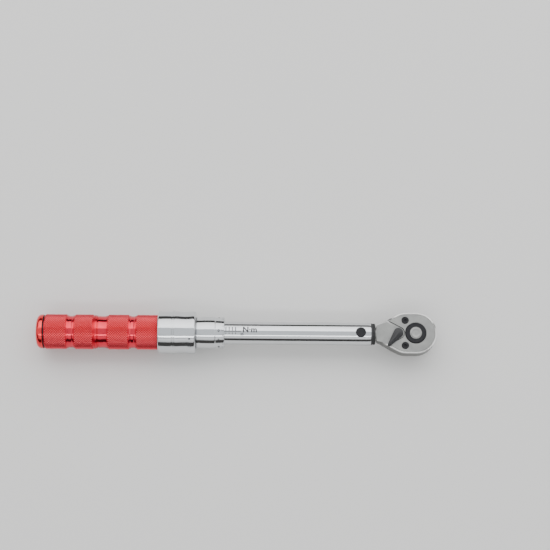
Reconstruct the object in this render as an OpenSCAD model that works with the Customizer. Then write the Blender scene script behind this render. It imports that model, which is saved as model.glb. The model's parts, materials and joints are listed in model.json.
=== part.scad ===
// Click-type torque wrench with a small square drive.
// Origin: centre of the end face of the square drive.
// +X runs from the grip to the head, +Z from the square drive to the reversing lever.

/* [Wrench] */
// Height of the wrench's long axis above the end of the square drive
axis_z = 15.3; // [15.3:0.1:18]
// Distance from the drive's axis to the front of the head
head_front = 14.6; // [14.4:0.1:15]
// Distance from the drive's axis to the butt end of the grip
butt_l = 265.4; // [264:0.2:270]

/* [Head] */
// Radius of the head's round end
head_r = 14.3; // [14:0.1:14.6]
// Length of the straight, parallel sides
head_side = 6.8; // [6:0.2:7.4]
// Thickness of the head
head_t = 13; // [12.4:0.2:13.4]
// Angle of each tapered side to the long axis
taper_a = 28; // [26:0.5:30]
// Distance from the drive's axis to the back of the head
head_back = 27.4; // [27:0.1:27.6]
// Radius of the round neck behind the head
neck_r = 4.8; // [4.6:0.1:4.9]
// Distance from the drive's axis to the head's pivot
pivot_l = 38.4; // [38:0.1:39]
// Radius of the pivot pin's shank
pin_r = 2.6; // [2.4:0.1:2.7]
// Radius of the pivot pin's head
pin_head_r = 3.6; // [3.4:0.1:3.8]

/* [Ratchet] */
// Width across the flats of the square drive
square_w = 6.35; // [6.3:0.01:6.35]
// Length of the square drive
square_l = 8; // [7.6:0.1:8]
// Outer radius of the ratchet gear
gear_r = 7.6; // [7.6:0.1:7.7]
// Number of teeth on the ratchet gear
teeth = 36; // [36]
// Radius of the black hub around the quick-release button
hub_r = 7.05; // [6.9:0.05:7.1]
// Radius of the quick-release button
button_r = 4.15; // [4:0.05:4.3]
// Travel of the quick-release button
button_travel = 2; // [1.6:0.1:2]
// Distance from the drive's axis to the reversing lever's axis
lever_l = 12.2; // [12.1:0.1:12.3]
// Angle of the reversing lever's tail to the long axis
lever_a = 53; // [45:1:58]
// Angle through which the pawl rocks when the lever is thrown over
rock_a = 7; // [6.6:0.2:7]

/* [Tube] */
// Outer radius of the tube
tube_r = 8; // [7.9:0.1:8.1]
// Inner radius of the tube
tube_in_r = 6.5; // [6.5:0.05:6.6]
// Distance from the drive's axis to the front of the tube
tube_front = 31.1; // [31:0.1:31.2]
// Distance from the drive's axis to the rear of the tube
tube_rear = 215; // [212:1:218]

/* [Handle] */
// Radius of the knurled grip
grip_r = 12.3; // [12.2:0.1:12.4]
// Depth of the smooth grooves around the grip
groove_d = 1.1; // [0.8:0.1:1.4]
// Radius of the lock collar at its ends
collar_r = 15; // [14.6:0.1:15.1]
// Radius of the lock collar at its waist
waist_r = 14.5; // [14.3:0.1:14.6]
// Radius of the thimble
thimble_r = 11.3; // [11.1:0.1:11.5]
// Radius of the thimble's front edge
thimble_front_r = 10.8; // [10.6:0.1:10.9]
// Distance that the grip advances over the whole scale
travel = 9.9; // [9:0.1:9.9]

/* [Hidden] */
$fn = 96;
EPS = 0.01;
RUN = 0.05;       // radial clearance of a running fit
GAP = 0.3;        // clearance between pieces that only pass each other

// Heights in the head
head_bottom = axis_z - head_t / 2;
head_top = axis_z + head_t / 2;
plate_t = 2.2;
plate_bottom = head_top - plate_t;
deck_drop = 0.7;            // step from the cover plate down to the lever's deck
deck_top = head_top - deck_drop;
gear_bottom = head_bottom + 2.2;
gear_top = plate_bottom - 0.3;
hub_top = head_top + 0.7;
neck_taper_x = -17;         // where the head starts to thin towards the neck
pin_head_bottom = axis_z + neck_r + GAP;
pin_head_top = axis_z + tube_r - GAP;
pin_bottom = axis_z - tube_r + 0.5;

// Ratchet
gear_root_r = gear_r - 0.65;
pocket_r = gear_r + 0.2;
journal_r = 6;              // lower journal of the drive
rocker_r = 7.8;             // outer radius of the pawl about the lever's axis
cam_r = 2.6;                // radius of the lever's cam stem
stem_r = 1.15;              // radius of the quick-release stem
ball_r = 1.2;               // radius of the drive's detent ball
ball_out = 0.4;             // how far the detent ball stands out of the square
ball_z = 3.6;
ball_y = square_w / 2 + ball_out - ball_r;
ramp = 0.25;                // slope of the ramp on the quick-release stem
spring_floor = head_bottom + 5.6;
button_floor = head_top - 2.2;

// Stations along the long axis, behind the drive's axis
arm_end = pivot_l + 39.6;
block_l = 5;
block_front = arm_end + 0.5;
block_rear = block_front + block_l;
plunger_front = block_rear + 0.6;
plunger_rear = plunger_front + 20;
seat_front = 150;
thrust_x = 156.6;
thrust_r = 2.4;
spindle_front = thrust_x + thrust_r + RUN;
nut_front = tube_rear - 12;
sleeve_front = 136;
sleeve_rear = 230;
sleeve_r = 10;
sleeve_in_r = tube_r + 0.06;
flange_rear = sleeve_rear + 8;
spindle_r = 4;
thimble_front = 133.8;
thimble_rear = 153.5;
collar_front = 154;
collar_rear = 180.4;
grip_front = 178;
cap_seam = butt_l - 5.6;
collar_travel = 4;

// Lock balls
lock_x = 158;
lock_ball_r = 1.25;
lock_ball_c = tube_r + 0.05 + lock_ball_r;
lock_ramp = 0.075;

// Place children on the long axis, their +Z turned to run from the grip to the head
module on_axis() {
    translate([0, 0, axis_z])
        rotate([0, 90, 0])
            children();
}

// Cylinder on the long axis between two distances behind the drive's axis
module bar(rear, front, r) {
    on_axis()
        translate([0, 0, -rear])
            cylinder(h = rear - front, r = r);
}

// Round tube on the long axis
module pipe(rear, front, r_out, r_in) {
    difference() {
        bar(rear, front, r_out);
        bar(rear + EPS, front - EPS, r_in);
    }
}

// Turned shape: points are [distance behind the drive's axis, radius]
module turned(points) {
    on_axis()
        rotate_extrude()
            polygon([for (p = points) [p[1], -p[0]]]);
}

// Outline of the head seen from above, drawn inside its edge by inset
module head_outline(inset = 0) {
    r = head_r - inset;
    front_x = head_front - head_r;
    rear_x = front_x - head_side;
    taper_x = rear_x - r * sin(taper_a);
    taper_y = r * cos(taper_a);
    back_y = taper_y - (taper_x + head_back) * tan(taper_a);
    translate([front_x, 0])
        circle(r);
    translate([rear_x, 0])
        circle(r);
    translate([rear_x, -r])
        square([head_side, 2 * r]);
    polygon([
        [rear_x, r - EPS], [taper_x, taper_y], [-head_back, back_y],
        [-head_back, -back_y], [taper_x, -taper_y], [rear_x, -r + EPS]
    ]);
}

// Deck behind the cover plate: a disc about the lever, opening out towards the neck
module deck_outline(grow = 0) {
    r = 4.1 + grow;
    open_a = taper_a - 0.5;
    touch_x = -lever_l + r * sin(open_a);
    touch_y = r * cos(open_a);
    far_x = -head_back - 4;
    far_y = touch_y + (touch_x - far_x) * tan(open_a);
    translate([-lever_l, 0])
        circle(r);
    polygon([[touch_x, touch_y], [far_x, far_y], [far_x, -far_y], [touch_x, -touch_y]]);
}

// Outline of the cover plate and its recess, kept clear of the deck by gap
module plate_outline(gap = 0) {
    difference() {
        head_outline(1.3);
        deck_outline(gap);
    }
}

// Places children at the two cover screws
module at_screws() {
    for (side = [-1, 1])
        translate([-7.4, side * 8.9, 0])
            children();
}

// Pocket in which the pawl rocks about the lever's axis
module pawl_pocket_outline() {
    r = rocker_r + 0.2;
    intersection() {
        translate([-lever_l, 0])
            circle(r);
        translate([-lever_l - 1.2, -r])
            square([r, 2 * r]);
    }
}

module head_forging() {
    arm_w = 5.2;
    arm_h = 6.2;
    boss_r = 5.6;
    boss_h = 6.4;
    color("silver")
        difference() {
            union() {
                intersection() {
                    translate([0, 0, head_bottom])
                        linear_extrude(head_t)
                            head_outline();
                    rotate([90, 0, 0])
                        linear_extrude(4 * head_r, center = true)
                            polygon([
                                [head_front + 1, head_bottom], [neck_taper_x, head_bottom],
                                [-head_back, axis_z - neck_r], [-head_back, axis_z + neck_r],
                                [neck_taper_x, head_top], [head_front + 1, head_top]
                            ]);
                }
                bar(pivot_l, head_back - 3, neck_r);
                translate([-pivot_l, 0, axis_z - boss_h / 2])
                    cylinder(h = boss_h, r = boss_r);
                translate([-arm_end, -arm_w / 2, axis_z - arm_h / 2])
                    cube([arm_end - pivot_l, arm_w, arm_h]);
            }
            // Recess for the cover plate
            translate([0, 0, plate_bottom])
                linear_extrude(plate_t + 1)
                    plate_outline();
            // The lever's deck is a little lower than the cover plate
            translate([0, 0, deck_top])
                linear_extrude(deck_drop + 1)
                    deck_outline();
            // Pockets for the gear and the pawl, and the bore for the drive's lower journal
            translate([0, 0, gear_bottom])
                cylinder(h = plate_bottom - gear_bottom + EPS, r = pocket_r);
            translate([0, 0, gear_bottom])
                linear_extrude(gear_top - gear_bottom)
                    pawl_pocket_outline();
            translate([0, 0, head_bottom - 1])
                cylinder(h = head_t, r = journal_r + RUN);
            // Bore for the lever's stem
            translate([-lever_l, 0, gear_bottom])
                cylinder(h = head_t, r = cam_r + RUN);
            at_screws()
                translate([0, 0, plate_bottom - 5])
                    cylinder(h = 6, r = 1.25);
            // Bore for the pivot pin
            translate([-pivot_l, 0, axis_z - boss_h])
                cylinder(h = 2 * boss_h, r = pin_r + RUN);
        }
}

module cover_plate() {
    color("lightgray")
        difference() {
            translate([0, 0, plate_bottom])
                linear_extrude(plate_t)
                    plate_outline(0.3);
            translate([0, 0, plate_bottom - 1])
                cylinder(h = plate_t + 2, r = hub_r + RUN);
            at_screws()
                translate([0, 0, plate_bottom - 1])
                    cylinder(h = plate_t + 2, r = 1.3);
            at_screws()
                translate([0, 0, head_top - 1.5])
                    cylinder(h = 2, r = 2.55);
        }
}

module cover_screws() {
    color("black")
        at_screws()
            difference() {
                union() {
                    translate([0, 0, head_top - 1.5])
                        cylinder(h = 1.4, r = 2.5);
                    translate([0, 0, plate_bottom - 4.8])
                        cylinder(h = 6, r = 1.25);
                }
                translate([0, 0, head_top - 1.2])
                    cylinder(h = 2, r = 1.15, $fn = 6);
            }
}

// Outline of the ratchet gear: straight-sided teeth with flat tips and roots
module gear_outline() {
    pitch = 360 / teeth;
    flat = 0.12 * pitch;
    polygon([
        for (i = [0 : teeth - 1], k = [0 : 3])
            let (
                r = k < 2 ? gear_r : gear_root_r,
                a = i * pitch + (k == 0 ? -flat : k == 1 ? flat : k == 2 ? pitch / 2 - flat : pitch / 2 + flat)
            )
            r * [cos(a), sin(a)]
    ]);
}

module drive_gear() {
    ball_hole_r = ball_r + 0.05;
    color("dimgray")
        difference() {
            union() {
                translate([-square_w / 2, -square_w / 2, 0])
                    cube([square_w, square_w, square_l + 0.5]);
                translate([0, 0, square_l])
                    cylinder(h = gear_bottom - square_l + 0.2, r = journal_r);
                translate([0, 0, gear_bottom + 0.1])
                    linear_extrude(gear_top - gear_bottom - 0.1)
                        gear_outline();
                translate([0, 0, gear_top - EPS])
                    cylinder(h = hub_top - gear_top + EPS, r = hub_r);
            }
            // Stepped bore for the button, its spring and its stem
            translate([0, 0, button_floor - button_travel - 0.6])
                cylinder(h = head_t, r = button_r + RUN);
            translate([0, 0, spring_floor])
                cylinder(h = head_t, r = 3);
            translate([0, 0, 1.2])
                cylinder(h = spring_floor, r = stem_r + RUN);
            // Cross hole for the detent ball
            translate([0, 0, ball_z])
                rotate([-90, 0, 0])
                    cylinder(h = square_w, r = ball_hole_r);
        }
}

module release_button() {
    cap_top = hub_top + 0.7;
    narrow_z = ball_z + (stem_r - 0.6) / ramp;
    color("gainsboro")
        union() {
            // Cap with a shallow crown
            translate([0, 0, button_floor])
                cylinder(h = cap_top - button_floor - 0.5, r = button_r);
            translate([0, 0, cap_top - 0.5])
                cylinder(h = 0.5, r1 = button_r, r2 = button_r - 1);
            // Stem with a ramp that lets the detent ball in as the button goes down
            translate([0, 0, narrow_z + 1.4])
                cylinder(h = button_floor - narrow_z - 1, r = stem_r);
            translate([0, 0, narrow_z + 0.6])
                cylinder(h = 0.8, r1 = 0.55, r2 = stem_r);
            translate([0, 0, narrow_z])
                cylinder(h = 0.6, r = 0.55);
            translate([0, 0, ball_z])
                cylinder(h = narrow_z - ball_z, r1 = stem_r - 0.05, r2 = 0.55);
            translate([0, 0, ball_z - 0.2])
                cylinder(h = 0.2 + EPS, r = stem_r - 0.05);
        }
}

module release_spring() {
    color("gray")
        difference() {
            translate([0, 0, spring_floor])
                cylinder(h = button_floor - spring_floor, r = 2.9);
            translate([0, 0, spring_floor - 1])
                cylinder(h = head_t, r = 2.2);
        }
}

module detent_ball() {
    color("silver")
        translate([0, ball_y, ball_z])
            sphere(r = ball_r);
}

// Lever outline: a round hub and a tail that narrows to a small round tip, pointing along -X
module lever_outline() {
    hub = 3.4;
    tip = 1.1;
    reach = 10.9;
    lean = asin((hub - tip) / reach);
    circle(hub);
    translate([-reach, 0])
        circle(tip);
    polygon([
        [-hub * sin(lean), hub * cos(lean)], [-reach - tip * sin(lean), tip * cos(lean)],
        [-reach - tip * sin(lean), -tip * cos(lean)], [-hub * sin(lean), -hub * cos(lean)]
    ]);
}

// Turns children from the lever's own frame, tail along -X, to where the lever lies
module on_lever() {
    translate([-lever_l, 0, 0])
        rotate([0, 0, lever_a])
            children();
}

module reversing_lever() {
    lever_bottom = head_top + 0.15;
    stem_bottom = gear_bottom + 0.3;
    color("black")
        on_lever()
            difference() {
                union() {
                    translate([0, 0, lever_bottom])
                        linear_extrude(2)
                            lever_outline();
                    translate([-10.1, -0.7, lever_bottom + 2 - EPS])
                        cube([11.5, 1.4, 1.1]);
                    translate([0, 0, deck_top + 0.1])
                        cylinder(h = 1, r = 3.3);
                    translate([0, 0, stem_bottom])
                        cylinder(h = head_top - stem_bottom, r = cam_r);
                }
                // Blind hole for the spring and plunger that press on the pawl
                translate([-1.6, 0, (gear_bottom + gear_top) / 2])
                    rotate([0, 90, 0])
                        cylinder(h = 6, r = 0.85);
            }
}

module lever_plunger() {
    color("silver")
        on_lever()
            translate([cam_r - 0.75, 0, (gear_bottom + gear_top) / 2]) {
                sphere(r = 0.8);
                rotate([0, -90, 0])
                    cylinder(h = 0.95, r = 0.8);
            }
}

module lever_spring() {
    color("gray")
        on_lever()
            translate([-1.6, 0, (gear_bottom + gear_top) / 2])
                rotate([0, 90, 0])
                    difference() {
                        cylinder(h = 2.5, r = 0.8);
                        translate([0, 0, -1])
                            cylinder(h = 5, r = 0.5);
                    }
}

// One of the pawl's two sets of teeth, drawn in mesh with the gear
module pawl_teeth(side) {
    pitch = 360 / teeth;
    tip_r = gear_root_r + 0.08;
    for (i = [2, 3])
        rotate(180 - side * (i + 0.5) * pitch)
            polygon([
                [tip_r, 0.07], [gear_r + 0.1, 0.41], [gear_r + 0.7, 0.55],
                [gear_r + 0.7, -0.55], [gear_r + 0.1, -0.41], [tip_r, -0.07]
            ]);
}

// Turns children about the lever's axis
module rock(a) {
    translate([-lever_l, 0])
        rotate(a)
            translate([lever_l, 0])
                children();
}

module pawl() {
    half = rock_a / 2;
    pawl_h = gear_top - gear_bottom - 0.4;
    color("silver")
        translate([0, 0, gear_bottom + 0.2])
            rock(-half)
                intersection() {
                    union() {
                        difference() {
                            translate([-lever_l + 0.8, -rocker_r, 0])
                                cube([rocker_r, 2 * rocker_r, pawl_h]);
                            translate([-lever_l, 0, -1])
                                cylinder(h = pawl_h + 2, r = cam_r + 0.15);
                            for (side = [-1, 1])
                                rock(side * half)
                                    translate([0, 0, -1])
                                        cylinder(h = pawl_h + 2, r = gear_r + 0.12);
                        }
                        for (side = [-1, 1])
                            rock(side * half)
                                linear_extrude(pawl_h)
                                    pawl_teeth(side);
                    }
                    translate([-lever_l, 0, 0])
                        cylinder(h = pawl_h, r = rocker_r);
                }
}

module tube() {
    color("gainsboro")
        difference() {
            pipe(tube_rear, tube_front, tube_r, tube_in_r);
            translate([-pivot_l, 0, axis_z])
                cylinder(h = 2 * tube_r, r = pin_head_r);
            translate([-pivot_l, 0, axis_z - 2 * tube_r])
                cylinder(h = 2 * tube_r, r = pin_r);
            translate([-nut_front - 6, 0, axis_z - 2 * tube_r])
                cylinder(h = 4 * tube_r, r = 1.25);
        }
}

module pivot_pin() {
    color("black")
        union() {
            translate([-pivot_l, 0, pin_head_bottom])
                cylinder(h = pin_head_top - pin_head_bottom, r = pin_head_r);
            translate([-pivot_l, 0, pin_bottom])
                cylinder(h = pin_head_bottom - pin_bottom + 0.5, r = pin_r);
        }
}

module dust_ring() {
    color("black")
        turned([
            [tube_front, 5.4], [tube_front + 3, 5.6], [tube_front + 3, tube_in_r],
            [tube_front, tube_in_r], [tube_front, tube_r - 0.3], [28.5, tube_r - 0.4],
            [28.1, tube_r - 0.9], [28.1, 5.4]
        ]);
}

module tilt_block() {
    color("silver")
        translate([-block_rear, -1.3, axis_z - 2.6])
            cube([block_l, 2.6, 5.2]);
}

module plunger() {
    color("silver")
        difference() {
            bar(plunger_rear, plunger_front, tube_in_r - 0.15);
            pipe(plunger_front + 14, plunger_front + 6, tube_in_r + 1, tube_in_r - 0.6);
            bar(plunger_rear + 1, plunger_rear - 12, 3);
        }
}

module main_spring() {
    color("slategray")
        pipe(seat_front - RUN, plunger_rear + 0.7, tube_in_r - 0.2, tube_in_r - 2.4);
}

module spring_seat() {
    color("silver")
        difference() {
            union() {
                bar(thrust_x, seat_front, tube_in_r - 0.15);
                bar(seat_front, seat_front - 5, 3.6);
            }
            translate([-thrust_x, 0, axis_z])
                sphere(r = thrust_r + RUN);
        }
}

module thrust_ball() {
    color("silver")
        translate([-thrust_x, 0, axis_z])
            sphere(r = thrust_r);
}

module lead_nut() {
    color("darkgoldenrod")
        difference() {
            pipe(tube_rear, nut_front, tube_in_r, spindle_r + RUN);
            for (side = [0, 180])
                translate([-nut_front - 6, 0, axis_z])
                    rotate([side, 0, 0])
                        translate([0, 0, spindle_r + 0.8])
                            cylinder(h = tube_r, r = 1.25);
        }
}

module nut_pin() {
    color("gray")
        for (side = [0, 180])
            translate([-nut_front - 6, 0, axis_z])
                rotate([side, 0, 0])
                    translate([0, 0, spindle_r + 0.8])
                        cylinder(h = tube_r - spindle_r - 1, r = 1.25);
}

module spindle() {
    color("slategray")
        union() {
            bar(flange_rear, spindle_front, spindle_r);
            bar(flange_rear, sleeve_rear, sleeve_r);
            bar(flange_rear + 14, flange_rear - 1, spindle_r);
        }
}

module handle_sleeve() {
    color("gray")
        difference() {
            pipe(sleeve_rear, sleeve_front, sleeve_r, sleeve_in_r);
            for (a = [0, 120, 240])
                translate([-lock_x, 0, axis_z])
                    rotate([a + 90, 0, 0])
                        cylinder(h = 2 * sleeve_r, r = lock_ball_r + RUN);
        }
}

module grip() {
    floor_r = grip_r - groove_d;
    ledge_r = grip_r - 0.5 * groove_d;
    color("firebrick")
        turned([
            [grip_front, grip_r], [grip_front, sleeve_r], [flange_rear, sleeve_r], [flange_rear, 8.5],
            [cap_seam, 8.5], [cap_seam, grip_r - 0.2],
            // Rear land, then the narrow groove nearest the butt
            [cap_seam - 0.4, grip_r], [243.8, grip_r], [243, floor_r], [240.1, floor_r], [239.3, grip_r],
            // Middle land, then the wide stepped groove
            [225.1, grip_r], [222.8, ledge_r], [222.3, floor_r], [218.4, floor_r], [216, grip_r],
            // Front land, then the narrow groove nearest the collar
            [200.2, grip_r], [199.4, floor_r], [196.8, floor_r], [196, grip_r]
        ]);
}

module clamp_nut() {
    color("gray")
        difference() {
            on_axis()
                translate([0, 0, -flange_rear - 6])
                    cylinder(h = 6, r = 7.5, $fn = 6);
            bar(flange_rear + 7, flange_rear - 1, spindle_r);
        }
}

module end_cap() {
    corner = 3.2;
    color("firebrick")
        union() {
            turned([
                [cap_seam + 0.8, 0], [cap_seam + 0.8, grip_r - 0.2], [cap_seam + 1.1, grip_r],
                for (a = [90 : -15 : 0])
                    [butt_l - corner + corner * cos(a), grip_r - corner + corner * sin(a)],
                [butt_l, 0]
            ]);
            bar(cap_seam + 1, cap_seam, grip_r - 0.9);
            bar(cap_seam + 0.5, cap_seam - 6, 8.5);
        }
}

module thimble() {
    color("gainsboro")
        difference() {
            turned([
                [thimble_rear, sleeve_r], [thimble_rear, thimble_r - 0.4], [thimble_rear - 0.4, thimble_r],
                [140.6, thimble_r], [140, thimble_r - 0.35], [134.1, thimble_front_r],
                [thimble_front, thimble_front_r - 0.4], [thimble_front, tube_r + 0.15],
                [sleeve_front, tube_r + 0.15], [sleeve_front, sleeve_r]
            ]);
            translate([-thimble_rear + 3, 0, axis_z - 2 * thimble_r])
                cylinder(h = 2 * thimble_r, r = 1.5);
        }
}

module thimble_screw() {
    color("black")
        difference() {
            translate([-thimble_rear + 3, 0, axis_z - thimble_r + 0.2])
                cylinder(h = thimble_r - sleeve_r - 0.3, r = 1.5);
            translate([-thimble_rear + 3, 0, axis_z - thimble_r])
                cylinder(h = 0.8, r = 0.75, $fn = 6);
        }
}

module lock_collar() {
    guide_rear = 166;
    guide_front = 161.5;
    ball_land = lock_ball_c + lock_ball_r + 0.05;
    color("gainsboro")
        turned([
            [collar_rear, grip_r + 0.2], [collar_rear, collar_r - 0.8], [collar_rear - 0.8, collar_r],
            [171, collar_r], [170, collar_r + 0.3], [169, collar_r + 0.3], [168, collar_r - 0.1],
            [166, waist_r + 0.2],
            [164, waist_r], [161, waist_r + 0.1], [158, collar_r - 0.2], [154.6, collar_r],
            [collar_front, collar_r - 0.6],
            [collar_front, ball_land + lock_ramp * (lock_x - collar_front)],
            [guide_front, ball_land + lock_ramp * (lock_x - guide_front)],
            [guide_front, sleeve_r + 0.06], [guide_rear, sleeve_r + 0.06], [guide_rear, grip_r + 0.2]
        ]);
}

module lock_spring() {
    color("slategray")
        pipe(grip_front - RUN, 166 + RUN, grip_r - 0.1, sleeve_r + 0.3);
}

// Ball in the handle's sleeve, at an angle about the long axis
module lock_ball(a) {
    color("silver")
        translate([-lock_x, 0, axis_z])
            rotate([a, 0, 0])
                translate([0, -lock_ball_c, 0])
                    sphere(r = lock_ball_r);
}

module lock_ball_1() {
    lock_ball(0);
}

module lock_ball_2() {
    lock_ball(120);
}

module lock_ball_3() {
    lock_ball(240);
}

// Ring on the sleeve that stops the collar's guide
module stop_ring() {
    color("gray")
        pipe(161.3, 160, sleeve_r + 0.3, sleeve_r);
}

head_forging();
cover_plate();
cover_screws();
drive_gear();
release_button();
release_spring();
detent_ball();
reversing_lever();
lever_plunger();
lever_spring();
pawl();
tube();
pivot_pin();
dust_ring();
tilt_block();
plunger();
main_spring();
spring_seat();
thrust_ball();
lead_nut();
nut_pin();
spindle();
handle_sleeve();
grip();
clamp_nut();
end_cap();
thimble();
thimble_screw();
lock_collar();
lock_spring();
lock_ball_1();
lock_ball_2();
lock_ball_3();
stop_ring();
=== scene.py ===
# %% [markdown]
# # A click torque wrench
# The wrench is a tube with a ratchet head at one end and a turning handle at the other. Its frame and
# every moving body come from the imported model, so this file only gives the pieces their finished shape
# and finish.

# %% Load the frame
import json
import math

import bmesh
import bpy
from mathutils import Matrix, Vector


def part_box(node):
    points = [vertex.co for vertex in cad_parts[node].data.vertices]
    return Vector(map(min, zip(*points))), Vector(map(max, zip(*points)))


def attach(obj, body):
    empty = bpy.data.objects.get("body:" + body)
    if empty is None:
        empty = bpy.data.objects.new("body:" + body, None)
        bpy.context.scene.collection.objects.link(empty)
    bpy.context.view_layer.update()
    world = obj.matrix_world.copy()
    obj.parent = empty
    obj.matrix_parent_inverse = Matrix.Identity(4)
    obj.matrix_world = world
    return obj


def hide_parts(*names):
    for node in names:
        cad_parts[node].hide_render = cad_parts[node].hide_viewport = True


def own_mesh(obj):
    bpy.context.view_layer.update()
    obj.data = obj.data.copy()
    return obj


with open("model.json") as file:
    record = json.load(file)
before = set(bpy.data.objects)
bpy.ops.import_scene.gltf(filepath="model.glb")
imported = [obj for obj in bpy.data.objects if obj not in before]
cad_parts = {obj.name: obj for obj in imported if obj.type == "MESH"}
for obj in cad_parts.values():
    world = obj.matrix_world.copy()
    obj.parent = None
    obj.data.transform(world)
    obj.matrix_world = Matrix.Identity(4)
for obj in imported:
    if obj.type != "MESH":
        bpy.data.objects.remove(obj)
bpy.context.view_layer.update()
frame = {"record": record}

# %% [markdown]
# ## Measures
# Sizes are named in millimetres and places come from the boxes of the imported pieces, so that a finished
# piece always lies where the frame says. The wrench's long axis is the middle of its tube.

# %% Measures
MM = 0.001


def span(node):
    """The front and rear of a node along the wrench, as distances in mm behind the drive's axis."""
    low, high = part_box(node)
    return -high[0] / MM, -low[0] / MM


def radius(node):
    """Half of a node's width in mm."""
    low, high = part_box(node)
    return (high[1] - low[1]) / 2 / MM


TUBE_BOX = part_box("tube")
AXIS_Z = (TUBE_BOX[0][2] + TUBE_BOX[1][2]) / 2
HEAD_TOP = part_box("cover_plate")[1][2]
print("axis height mm", round(AXIS_Z / MM, 2), "head top mm", round(HEAD_TOP / MM, 2))

# %% [markdown]
# ## Working by hand, in code
# An operator acts on everything that is selected, and loading the frame leaves its pieces selected. So
# each piece starts by clearing the selection. Edges and faces are then picked by where they lie.

# %% Selection helpers
def clear_selection():
    if bpy.context.object and bpy.context.object.mode != "OBJECT":
        bpy.ops.object.mode_set(mode="OBJECT")
    bpy.ops.object.select_all(action="DESELECT")


def only(obj):
    """Selects one object alone and makes it active."""
    clear_selection()
    obj.select_set(True)
    bpy.context.view_layer.objects.active = obj


def pick(obj, kind, test):
    """In edit mode, selects the vertices, edges or faces for which test is true."""
    bpy.ops.mesh.select_mode(type={"verts": "VERT", "edges": "EDGE", "faces": "FACE"}[kind])
    bpy.ops.mesh.select_all(action="DESELECT")
    mesh = bmesh.from_edit_mesh(obj.data)
    for item in getattr(mesh, kind):
        if test(item):
            item.select_set(True)
    mesh.select_flush_mode()
    bmesh.update_edit_mesh(obj.data)


def finish_piece(obj, name, smooth=35):
    """Leaves edit mode, puts the object at the origin and shades it smooth up to an angle."""
    bpy.ops.object.mode_set(mode="OBJECT")
    only(obj)
    obj.name = name
    obj.data.name = name
    bpy.ops.object.transform_apply(location=True, rotation=True, scale=True)
    bpy.ops.object.shade_smooth_by_angle(angle=math.radians(smooth))
    return obj


def bevel_edges(obj, width, segments=2, angle=30, slot=-1):
    """Rounds the edges that are sharper than an angle. Their new faces may take another material slot."""
    only(obj)
    bevel = obj.modifiers.new("edge", "BEVEL")
    bevel.width = width * MM
    bevel.segments = segments
    bevel.limit_method = "ANGLE"
    bevel.angle_limit = math.radians(angle)
    bevel.use_clamp_overlap = True
    bevel.material = slot
    bpy.ops.object.modifier_apply(modifier=bevel.name)
    bpy.ops.object.shade_smooth_by_angle(angle=math.radians(35))


clear_selection()
print("helpers ready")

# %% [markdown]
# Most of the wrench is turned on a lathe. A turned piece can be spun from a profile, or grown ring by
# ring. Growing it is quicker to read: a circle is extruded along the wrench and scaled at each station.

# %% Turned pieces
def turned(name, rings, segments=96, hollow=True):
    """Grows a turned piece from rings of (distance behind the drive's axis, radius), in mm."""
    clear_selection()
    start, first = rings[0]
    bpy.ops.mesh.primitive_circle_add(
        vertices=segments, radius=first * MM, location=(-start * MM, 0, AXIS_Z), rotation=(0, math.pi / 2, 0))
    obj = bpy.context.object
    bpy.ops.object.mode_set(mode="EDIT")
    bpy.ops.mesh.select_mode(type="EDGE")
    bpy.ops.mesh.select_all(action="SELECT")
    for (x0, r0), (x1, r1) in zip(rings, rings[1:]):
        bpy.ops.mesh.extrude_region_move(TRANSFORM_OT_translate={"value": ((x0 - x1) * MM, 0, 0)})
        bpy.ops.transform.resize(value=(1, r1 / r0, r1 / r0), center_override=(-x1 * MM, 0, AXIS_Z))
    bpy.ops.mesh.select_all(action="DESELECT")
    bpy.ops.mesh.select_non_manifold()
    if hollow:
        bpy.ops.mesh.bridge_edge_loops()
    else:
        bpy.ops.mesh.fill_holes(sides=0)
    bpy.ops.mesh.select_all(action="SELECT")
    bpy.ops.mesh.remove_doubles(threshold=0.001 * MM)
    bpy.ops.mesh.normals_make_consistent(inside=False)
    return finish_piece(obj, name)


def arc(centre, r, start, end, steps):
    """Rings along a round corner: angles in degrees, 0 towards the butt and 90 outwards."""
    turns = [math.radians(start + (end - start) * i / steps) for i in range(steps + 1)]
    return [(centre[0] + r * math.cos(a), centre[1] + r * math.sin(a)) for a in turns]


print("turning ready")

# %% [markdown]
# Milled and forged pieces already have their true faces in the frame, but their edges are knife sharp.
# A copy is merged, its flat faces are joined up again, and its edges are broken with a small bevel,
# which is what catches the light on a real tool.

# %% Pieces finished from the frame
def clean_copy(node, name):
    """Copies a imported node, merges its loose triangles and joins up its flat faces."""
    source = bpy.data.objects[node]
    obj = bpy.data.objects.new(name, source.data.copy())
    bpy.context.scene.collection.objects.link(obj)
    only(obj)
    bpy.ops.object.mode_set(mode="EDIT")
    bpy.ops.mesh.select_all(action="SELECT")
    bpy.ops.mesh.remove_doubles(threshold=0.002 * MM)
    bpy.ops.mesh.dissolve_limited(angle_limit=math.radians(0.5))
    return finish_piece(obj, name)


def edge_broken(node, name, width, segments=2, angle=30):
    """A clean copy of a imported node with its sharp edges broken."""
    obj = clean_copy(node, name)
    bevel_edges(obj, width, segments, angle)
    return obj


print("edge breaking ready")

# %% [markdown]
# ## Finishes
# Each finish starts from the real surface. Colours are written as they look on screen and one function
# turns them linear. One small function adds a node with its settings and its links.

# %% Colour and node helpers
def linear(code):
    """A linear colour from an sRGB hex code."""
    parts = [int(code[i:i + 2], 16) / 255 for i in (0, 2, 4)]
    return tuple(c / 12.92 if c <= 0.04045 else ((c + 0.055) / 1.055) ** 2.4 for c in parts) + (1.0,)


def add_node(tree, kind, inputs=None, **settings):
    """Adds a node. A value in inputs may be a number, a colour or another node's output."""
    node = tree.nodes.new(kind)
    for key, value in settings.items():
        setattr(node, key, value)
    for key, value in (inputs or {}).items():
        if isinstance(value, bpy.types.NodeSocket):
            tree.links.new(value, node.inputs[key])
        else:
            node.inputs[key].default_value = value
    return node


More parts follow.
